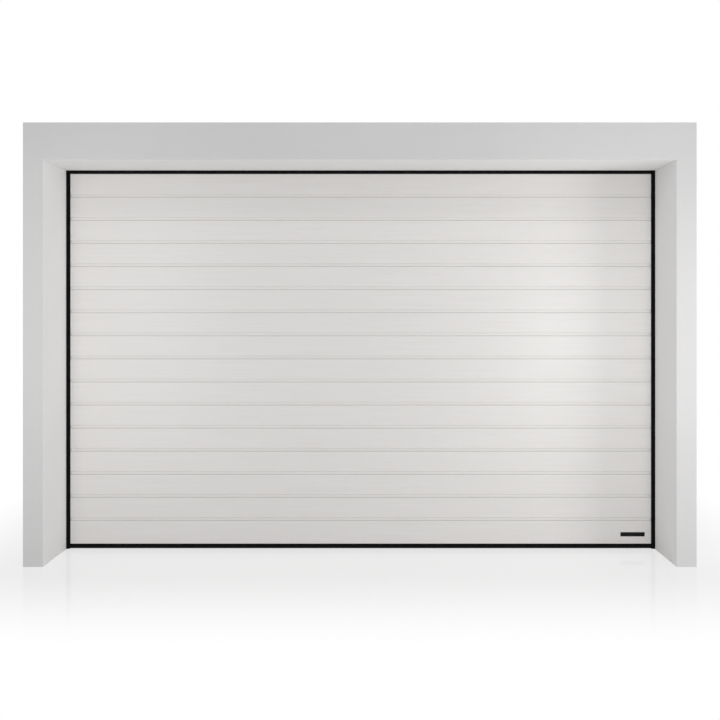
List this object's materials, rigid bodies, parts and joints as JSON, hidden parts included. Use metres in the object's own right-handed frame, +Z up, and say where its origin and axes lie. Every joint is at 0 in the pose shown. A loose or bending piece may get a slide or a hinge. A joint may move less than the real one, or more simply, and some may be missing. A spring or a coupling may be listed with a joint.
{
  "type": "sectional garage door",
  "caption": "Ribbed sectional garage door in a plain masonry portal, with hinged leaf sections, roller tracks and torsion spring counterbalance behind.",
  "frame": {"origin": "on the floor in the middle of the doorway and of the leaf's thickness, where the bottom seal rests", "axes": "+X to the right seen from outside, +Y into the garage, +Z up"},
  "size_m": [3.469, 2.672, 2.58],
  "materials": {
    "wall_plaster": "matte",
    "leaf_coating": "satin",
    "galvanised_steel": "satin",
    "zinc_plate": "satin",
    "seal_rubber": "matte",
    "rail_aluminium": "satin",
    "cast_aluminium": "matte",
    "roller_nylon": "satin",
    "spring_steel": "satin",
    "cable_wire": "satin"
  },
  "bodies": {
    "root": {"portal_lintel": "wall_plaster", "portal_jamb_left": "wall_plaster", "portal_jamb_right": "wall_plaster", "frame_post_left": "galvanised_steel", "frame_post_right": "galvanised_steel", "frame_header": "galvanised_steel", "side_seal_left": "seal_rubber", "side_seal_right": "seal_rubber", "top_seal": "seal_rubber", "bottom_seal": "seal_rubber", "bottom_rail": "rail_aluminium", "section_1": "leaf_coating", "section_2": "leaf_coating", "section_3": "leaf_coating", "section_4": "leaf_coating", "end_caps_left": "galvanised_steel", "end_caps_right": "galvanised_steel", "center_hinge_lower_leaves": "zinc_plate", "center_hinge_upper_leaves": "zinc_plate", "end_hinges_left": "zinc_plate", "end_hinges_right": "zinc_plate", "bottom_brackets": "zinc_plate", "top_brackets": "zinc_plate", "rollers_left": "roller_nylon", "rollers_right": "roller_nylon", "roller_axles_left": "zinc_plate", "roller_axles_right": "zinc_plate", "vertical_track_left": "galvanised_steel", "vertical_track_right": "galvanised_steel", "track_curve_left": "galvanised_steel", "track_curve_right": "galvanised_steel", "horizontal_track_left": "galvanised_steel", "horizontal_track_right": "galvanised_steel", "track_brackets_left": "galvanised_steel", "track_brackets_right": "galvanised_steel", "flag_brackets": "galvanised_steel", "track_stiffener_left": "galvanised_steel", "track_stiffener_right": "galvanised_steel", "rear_crossbar": "galvanised_steel", "rear_hanger_left": "galvanised_steel", "rear_hanger_right": "galvanised_steel", "torsion_shaft": "zinc_plate", "torsion_spring_left": "spring_steel", "torsion_spring_right": "spring_steel", "spring_cones": "cast_aluminium", "center_bracket": "galvanised_steel", "end_bearing_plates": "galvanised_steel", "cable_drums": "cast_aluminium", "lift_cable_left": "cable_wire", "lift_cable_right": "cable_wire"}
  },
  "joints": []
}
